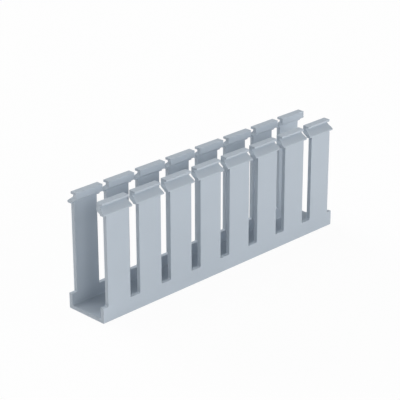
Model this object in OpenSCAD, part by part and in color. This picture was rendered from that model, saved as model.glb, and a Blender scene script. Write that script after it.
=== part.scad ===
// Slotted wire duct: the open-slot base of a snap-cover cable duct, one rigid PVC extrusion.
// The extrusion runs along X and stands on its floor. The origin is the centre of its underside.
// Sixteen fingers stand on two low walls, and each ends in a head that the cover snaps over.

/* [Duct] */
// Fingers along each side wall
finger_n = 8; // [2:1:16]
// From one finger to the next
finger_pitch = 20; // [15:0.5:40]
// Width over the outer faces of the two walls
duct_w = 24; // [20:0.5:80]
// Height from the underside to the top of the heads
duct_h = 59; // [35:1:120]
// Thickness of the floor
floor_t = 1.8; // [1:0.1:3]
// Thickness of the walls and fingers
wall_t = 2.1; // [1:0.1:3]
// Radius of the two long corners inside, where the walls meet the floor
inner_r = 0.6; // [0.2:0.1:1.5]
// Radius of the two long corners outside, along the underside
outer_r = 0.4; // [0.2:0.1:1]

/* [Slots] */
// Width of the slot between two fingers
slot_w = 6.2; // [4:0.1:10]
// Height of the slot bottoms above the underside
slot_z = 7.8; // [5:0.1:25]
// Radius in the bottom corners of a slot
slot_r = 0.5; // [0.2:0.1:1.5]

/* [Snap heads] */
// Height of a head, from its underside to its top
head_h = 5.7; // [4.5:0.1:8]
// How far a head reaches inwards from the outer face of its finger
head_d = 5; // [4:0.1:7]
// Height of a head's inner lower edge above its underside
head_heel = 2.3; // [1:0.1:3]
// Height above its underside where a head starts to lean in from its finger
head_lean = 0.5; // [0:0.1:0.8]
// How far the snap lip stands out from the outer face of its finger
lip_out = 0.5; // [0.2:0.1:1]
// Height of the snap lip's lower edge above the underside of its head
lip_rise = 0.4; // [0.2:0.1:1]
// Thickness of the snap lip's edge
lip_t = 0.5; // [0.2:0.1:1]
// Depth of the groove above the lip, from the outer face of the finger
groove_d = 3; // [2:0.1:3.8]
// Height of the upright wall at the back of the groove
groove_wall = 0.8; // [0.2:0.1:1]
// Thickness of the tab over the groove
tab_t = 1.1; // [0.8:0.1:1.5]
// How far the edge of the tab stays back from the outer face of its finger
tab_back = 1.3; // [0.5:0.1:2]

/* [Slot mouths] */
// Width of the throat between two heads, where a slot is narrowest
throat_w = 2.6; // [1.5:0.1:3.5]
// Height of the throat above the underside of the heads
throat_h = 1.6; // [0.5:0.1:2]
// Height of the funnel above the throat
funnel_h = 1.4; // [0.5:0.1:2]
// Width of a slot's mouth above the funnel
mouth_w = 3.8; // [3.6:0.1:4]

/* [Mounting slots] */
// From one mounting slot in the floor to the next
mount_pitch = 40; // [20:1:100]
// Width of a mounting slot
mount_slot_w = 4.5; // [3:0.1:6]
// Length of a mounting slot, end to end
mount_slot_l = 8; // [6:0.5:12]

/* [Hidden] */
$fn = 48;
duct_l = finger_n * finger_pitch;
half_w = duct_w / 2;
head_z = duct_h - head_h;
groove_h = head_h - tab_t;
throat_z = head_z + throat_h;
funnel_z = throat_z + funnel_h;
cut_past = 1;
mount_n = max(1, floor((duct_l - 2 * mount_slot_l) / mount_pitch) + 1);

// Quarter-round web that fills an inside corner at the origin, towards +X and +Y
module corner_web(r) {
    difference() {
        square(r);
        translate([r, r]) circle(r);
    }
}

// Half of the duct's section, seen along the duct: X is outwards here and Y is up
module half_section() {
    difference() {
        square([half_w, head_z]);
        translate([-cut_past, floor_t]) square([half_w - wall_t + cut_past, head_z]);
        translate([half_w, 0]) mirror([1, 0]) corner_web(outer_r);
    }
    translate([half_w - wall_t, floor_t]) mirror([1, 0]) corner_web(inner_r);
    translate([half_w, head_z]) head_section();
}

// Section of a snap head: X is 0 at the outer face of its finger, and Y is 0 at the head's underside
module head_section() {
    polygon([
        [-wall_t, 0],
        [0, 0],
        [lip_out, lip_rise],
        [lip_out, lip_rise + lip_t],
        [-groove_d, groove_h - groove_wall],
        [-groove_d, groove_h],
        [-tab_back, groove_h],
        [-tab_back, head_h],
        [-head_d, head_h],
        [-head_d, head_heel],
        [-wall_t, head_lean]
    ]);
}

// The whole section, extruded along the duct
module extrusion() {
    translate([-duct_l / 2, 0, 0]) rotate([90, 0, 90]) linear_extrude(duct_l) {
        half_section();
        mirror([1, 0]) half_section();
    }
}

// Outline of one punched slot, seen from the side: wide between the fingers, then a narrow throat
// between the heads, which opens upwards in a funnel to the mouth
module slot_outline() {
    difference() {
        translate([-slot_w / 2, slot_z]) square([slot_w, head_z - slot_z]);
        for (side = [0, 1]) mirror([side, 0]) translate([-slot_w / 2, slot_z]) corner_web(slot_r);
    }
    polygon([
        [-throat_w / 2, slot_z + slot_r],
        [throat_w / 2, slot_z + slot_r],
        [throat_w / 2, throat_z],
        [mouth_w / 2, funnel_z],
        [mouth_w / 2, duct_h + cut_past],
        [-mouth_w / 2, duct_h + cut_past],
        [-mouth_w / 2, funnel_z],
        [-throat_w / 2, throat_z]
    ]);
}

// The row of slots, each punched through both walls, with half a slot at each cut end
module slots() {
    for (i = [0 : finger_n])
        translate([i * finger_pitch - duct_l / 2, half_w + cut_past, 0])
            rotate([90, 0, 0]) linear_extrude(duct_w + 2 * cut_past) slot_outline();
}

// One slotted screw hole through the floor, along the duct
module mount_slot() {
    run = mount_slot_l - mount_slot_w;
    for (side = [-1, 1])
        translate([side * run / 2, 0, -cut_past])
            cylinder(d = mount_slot_w, h = floor_t + 2 * cut_past);
    translate([-run / 2, -mount_slot_w / 2, -cut_past])
        cube([run, mount_slot_w, floor_t + 2 * cut_past]);
}

// The row of screw holes along the middle of the floor
module mount_slots() {
    for (i = [0 : mount_n - 1])
        translate([(i - (mount_n - 1) / 2) * mount_pitch, 0, 0]) mount_slot();
}

module duct_base() {
    color([0.72, 0.75, 0.78]) difference() {
        extrusion();
        slots();
        mount_slots();
    }
}

duct_base();
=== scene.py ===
import math

import bpy
from mathutils import Matrix, Vector

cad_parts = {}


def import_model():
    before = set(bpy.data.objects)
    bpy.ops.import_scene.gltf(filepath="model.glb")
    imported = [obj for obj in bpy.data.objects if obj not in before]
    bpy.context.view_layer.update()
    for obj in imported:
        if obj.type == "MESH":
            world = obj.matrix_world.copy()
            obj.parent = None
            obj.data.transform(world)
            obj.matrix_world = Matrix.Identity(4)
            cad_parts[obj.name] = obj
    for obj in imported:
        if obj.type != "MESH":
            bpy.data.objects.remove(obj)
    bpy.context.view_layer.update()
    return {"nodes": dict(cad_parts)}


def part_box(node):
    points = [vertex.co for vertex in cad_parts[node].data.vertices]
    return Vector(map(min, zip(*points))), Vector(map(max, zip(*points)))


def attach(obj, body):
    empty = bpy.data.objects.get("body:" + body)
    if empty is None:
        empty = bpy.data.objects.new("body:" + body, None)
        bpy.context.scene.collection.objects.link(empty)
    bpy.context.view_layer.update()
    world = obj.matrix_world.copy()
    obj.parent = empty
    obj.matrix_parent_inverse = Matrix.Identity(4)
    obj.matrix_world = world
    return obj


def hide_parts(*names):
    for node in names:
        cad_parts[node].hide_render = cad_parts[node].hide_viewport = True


# Slotted wire duct, 25 x 60 mm: the looks of the open-slot base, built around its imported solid.
# The duct is one rigid PVC extrusion. It was drawn through a die, its slots and screw holes were
# punched, and it was sawn to length, so its surface has those three finishes.
# +X runs along the duct and +Z is up.

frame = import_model()

MM = 0.001

# ---- The duct's mesh
EDGE_EXTRUDED = 0.22 * MM  # how far the die rounds the long edges
EDGE_PUNCHED = 0.10 * MM   # how far the punch and the saw leave theirs rounded
EDGE_SEGMENTS = 3
SAME_PLACE = 0.002 * MM    # corners closer than this are one corner
SAME_PLANE = math.radians(0.5)   # faces that meet at less than this are one flat face
ARC_STEP = math.radians(20)      # faces that meet at less than this belong to one round
AT_END = 0.05 * MM         # a face this close to either end of the duct is a sawn one
DIE, PUNCH, SAW = 0, 1, 2  # the tool that left a face, which is also its material slot

# ---- Materials
PVC_IOR = 1.53
PVC_DARK, PVC_LIGHT = "#B2BCC6", "#B7C1CB"   # light blue-grey, and the little that it varies
PVC_SATIN = (0.42, 0.55)   # roughness from the smoothest to the dullest streak
CLOUD_SIZE = 1 / 60        # clouds of colour about 17 mm across
GRAIN_SIZE = 0.4 * MM      # real die lines are too fine to show, so they are drawn this coarse
GRAIN_DEPTH = 0.02 * MM
GRAIN_STRENGTH = 0.15
STROKE = {"x": (0.02, 1, 1), "y": (1, 0.05, 1), "z": (1, 1, 0.05)}   # grain is long along its stroke

# ---- Floor, light and camera
FLOOR_SIZE = 8.0
PAPER = "#F2F2F2"
PAPER_ROUGHNESS = 0.9
PAPER_WHITE_SHARE = 0.95   # share of plain white that camera and gloss see, so the shadow stays
SKY_STRENGTH = 0.3
SOFTBOX_SPREAD = 40        # degrees
SOFTBOXES = {              # name: (where it stands, how strong it is)
    "front right softbox": ((0.7, -0.7, 0.15), 1.95),
    "front left fill": ((-0.7, -0.7, 0.15), 0.23),
    "front fill": ((0, -1, 0.45), 0.33),
    "top softbox": ((-0.33, 0.41, 0.85), 0.67),
    "back softbox": ((0, 1, 0.3), 2.4),
}
CAMERA_AZIMUTH, CAMERA_ELEVATION, CAMERA_ROLL = -45.049, 22.940, -0.108   # degrees
CAMERA_TARGET = Vector((-18.19, -12.90, 43.71)) * MM
CAMERA_DISTANCE = 737.57 * MM
CAMERA_LENS, CAMERA_SENSOR = 139.74, 36   # in millimetres, as the camera takes them
CAMERA_CLIP = (0.05, 20)


# ---------------------------------------------------------------- small helpers

def linear(hex_colour):
    """An sRGB hex colour as the linear RGBA that Blender's sockets take."""
    channels = [int(hex_colour[i:i + 2], 16) / 255 for i in (1, 3, 5)]
    return [c / 12.92 if c <= 0.04045 else ((c + 0.055) / 1.055) ** 2.4 for c in channels] + [1.0]


def node(tree, kind, links=None, **settings):
    """Adds one shader node: settings set its properties or sockets, links feed its sockets."""
    made = tree.nodes.new(kind)
    for name, value in settings.items():
        if hasattr(made, name):
            setattr(made, name, value)
        else:
            made.inputs[name.replace("_", " ")].default_value = value
    for socket, source in (links or {}).items():
        tree.links.new(source, made.inputs[socket])
    return made


def make_active(piece):
    """Selects one piece and nothing else, because an operator acts on all that is selected."""
    for other in bpy.context.selected_objects:
        other.select_set(False)
    piece.select_set(True)
    bpy.context.view_layer.objects.active = piece


# ---------------------------------------------------------------- the duct's mesh

def merged_copy(cad, name):
    """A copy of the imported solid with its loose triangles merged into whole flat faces."""
    piece = bpy.data.objects.new(name, cad.data.copy())
    bpy.context.scene.collection.objects.link(piece)
    make_active(piece)
    bpy.ops.object.mode_set(mode="EDIT")
    bpy.ops.mesh.select_all(action="SELECT")
    bpy.ops.mesh.remove_doubles(threshold=SAME_PLACE)
    bpy.ops.mesh.dissolve_limited(angle_limit=SAME_PLANE)
    bpy.ops.object.mode_set(mode="OBJECT")
    return piece


def normals_by_edge(mesh):
    """The normals of the faces that meet at each edge."""
    normals = {}
    for face in mesh.polygons:
        for key in face.edge_keys:
            normals.setdefault(key, []).append(face.normal)
    return normals


def round_edges(piece):
    """Rounds the edges: the long ones from the die a little more than the punched and sawn ones."""
    mesh = piece.data
    weight = mesh.attributes.new("bevel_weight_edge", "FLOAT", "EDGE")
    normals_at = normals_by_edge(mesh)
    for edge in mesh.edges:
        normals = normals_at.get(tuple(sorted(edge.vertices)), [])
        if len(normals) != 2 or normals[0].angle(normals[1]) < ARC_STEP:
            continue
        run = mesh.vertices[edge.vertices[1]].co - mesh.vertices[edge.vertices[0]].co
        along = abs(run.normalized().x) > 0.99
        cut = abs(normals[0].x) > 0.9 or abs(normals[1].x) > 0.9
        weight.data[edge.index].value = 1.0 if along and not cut else EDGE_PUNCHED / EDGE_EXTRUDED
    bevel = piece.modifiers.new("edges", "BEVEL")
    bevel.width = EDGE_EXTRUDED
    bevel.limit_method = "WEIGHT"
    bevel.offset_type = "OFFSET"
    bevel.segments = EDGE_SEGMENTS
    bevel.harden_normals = True
    bevel.use_clamp_overlap = True
    bevel.miter_outer = "MITER_ARC"
    make_active(piece)
    bpy.ops.object.modifier_apply(modifier=bevel.name)


def tool_of(face, low, high):
    """Which tool left this face. One that looks along the duct is sawn at an end and else punched."""
    if abs(face.normal.x) <= 0.7:
        return DIE
    from_end = min(face.center.x - low.x, high.x - face.center.x)
    return SAW if from_end < AT_END else PUNCH


# ---------------------------------------------------------------- materials

def rigid_pvc(name, stroke):
    """Rigid PVC in light blue-grey: a satin sheen, broken by the grain that the tool left."""
    material = bpy.data.materials.new(name)
    material.use_nodes = True
    tree = material.node_tree
    shader = tree.nodes["Principled BSDF"]
    shader.inputs["IOR"].default_value = PVC_IOR
    place = node(tree, "ShaderNodeTexCoord").outputs["Object"]

    # Faint clouding of the compound, so that a long face isn't one flat colour
    cloud = node(tree, "ShaderNodeTexNoise", {"Vector": place}, Scale=1 / CLOUD_SIZE, Detail=3.0)
    tint = node(tree, "ShaderNodeMix", {"Factor": cloud.outputs["Fac"]}, data_type="RGBA")
    tint.inputs["A"].default_value = linear(PVC_DARK)
    tint.inputs["B"].default_value = linear(PVC_LIGHT)
    tree.links.new(tint.outputs["Result"], shader.inputs["Base Color"])

    # Grain left by the tool: it breaks the gloss into streaks along the stroke
    grain_place = node(tree, "ShaderNodeMapping", {"Vector": place}, Scale=STROKE[stroke])
    grain = node(tree, "ShaderNodeTexNoise", {"Vector": grain_place.outputs["Vector"]},
                 Scale=1 / GRAIN_SIZE, Detail=2.0)
    rough = node(tree, "ShaderNodeMapRange", {"Value": grain.outputs["Fac"]})
    rough.inputs["To Min"].default_value = PVC_SATIN[0]
    rough.inputs["To Max"].default_value = PVC_SATIN[1]
    tree.links.new(rough.outputs["Result"], shader.inputs["Roughness"])
    bump = node(tree, "ShaderNodeBump", {"Height": grain.outputs["Fac"]},
                Strength=GRAIN_STRENGTH, Distance=GRAIN_DEPTH)
    tree.links.new(bump.outputs["Normal"], shader.inputs["Normal"])
    return material


def finish_faces(piece, low, high):
    """Gives each face the finish of the tool that left it."""
    piece.data.materials.clear()
    for finish in (rigid_pvc("extruded rigid PVC", "x"), rigid_pvc("punched rigid PVC", "y"),
                   rigid_pvc("sawn rigid PVC", "z")):
        piece.data.materials.append(finish)
    for face in piece.data.polygons:
        face.material_index = tool_of(face, low, high)


# ---------------------------------------------------------------- floor, light and camera

def floor():
    """A white paper sweep that shows as white and keeps the duct's shadow."""
    bpy.ops.mesh.primitive_grid_add(x_subdivisions=2, y_subdivisions=2, size=FLOOR_SIZE)
    plane = bpy.context.active_object
    plane.name = "floor"
    material = bpy.data.materials.new("white paper sweep")
    material.use_nodes = True
    tree = material.node_tree
    paper = tree.nodes["Principled BSDF"]
    paper.inputs["Base Color"].default_value = linear(PAPER)
    paper.inputs["Roughness"].default_value = PAPER_ROUGHNESS
    glow = node(tree, "ShaderNodeEmission", Strength=1.0)
    path = node(tree, "ShaderNodeLightPath")
    seen = node(tree, "ShaderNodeMath", {0: path.outputs["Is Camera Ray"],
                                         1: path.outputs["Is Glossy Ray"]}, operation="MAXIMUM")
    share = node(tree, "ShaderNodeMath", {0: seen.outputs[0]}, operation="MULTIPLY")
    share.inputs[1].default_value = PAPER_WHITE_SHARE
    mix = node(tree, "ShaderNodeMixShader", {0: share.outputs[0], 1: paper.outputs[0],
                                             2: glow.outputs[0]})
    tree.links.new(mix.outputs[0], tree.nodes["Material Output"].inputs["Surface"])
    plane.data.materials.append(material)


def world():
    """Even light from all round, which the camera sees as plain white."""
    sky = bpy.data.worlds.new("studio")
    bpy.context.scene.world = sky
    sky.use_nodes = True
    tree = sky.node_tree
    light = tree.nodes["Background"]
    light.inputs["Color"].default_value = linear("#FFFFFF")
    light.inputs["Strength"].default_value = SKY_STRENGTH
    white = node(tree, "ShaderNodeBackground", Strength=1.0)
    white.inputs["Color"].default_value = linear("#FFFFFF")
    path = node(tree, "ShaderNodeLightPath")
    mix = node(tree, "ShaderNodeMixShader", {0: path.outputs["Is Camera Ray"],
                                             1: light.outputs[0], 2: white.outputs[0]})
    tree.links.new(mix.outputs[0], tree.nodes["World Output"].inputs["Surface"])


def softbox(name, towards, strength):
    """A wide soft lamp that shines on the duct from the direction given."""
    data = bpy.data.lights.new(name, "SUN")
    data.energy = strength
    data.angle = math.radians(SOFTBOX_SPREAD)
    lamp = bpy.data.objects.new(name, data)
    bpy.context.scene.collection.objects.link(lamp)
    lamp.rotation_mode = "QUATERNION"
    lamp.rotation_quaternion = Vector(towards).normalized().to_track_quat("Z", "Y")


def camera():
    """The camera, placed round its target by azimuth, elevation, roll and distance."""
    azimuth, elevation, roll = (math.radians(angle) for angle in
                                (CAMERA_AZIMUTH, CAMERA_ELEVATION, CAMERA_ROLL))
    back = Vector((math.sin(azimuth) * math.cos(elevation),
                   -math.cos(azimuth) * math.cos(elevation), math.sin(elevation)))
    level = Vector((math.cos(azimuth), math.sin(azimuth), 0))
    upright = back.cross(level)
    right = level * math.cos(roll) + upright * math.sin(roll)
    up = upright * math.cos(roll) - level * math.sin(roll)
    data = bpy.data.cameras.new("camera")
    data.lens = CAMERA_LENS
    data.sensor_width = CAMERA_SENSOR
    data.clip_start, data.clip_end = CAMERA_CLIP
    lens = bpy.data.objects.new("camera", data)
    bpy.context.scene.collection.objects.link(lens)
    turn = Matrix((right, up, back)).transposed().to_4x4()
    lens.matrix_world = Matrix.Translation(CAMERA_TARGET + back * CAMERA_DISTANCE) @ turn
    bpy.context.scene.camera = lens


# ---------------------------------------------------------------- the scene

low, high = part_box("duct_base")
duct = merged_copy(frame["nodes"]["duct_base"], "duct_extrusion")
round_edges(duct)
finish_faces(duct, low, high)
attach(duct, "root")
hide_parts("duct_base")

floor()
world()
for name, (towards, strength) in SOFTBOXES.items():
    softbox(name, towards, strength)
camera()
bpy.context.scene.view_settings.view_transform = "Standard"
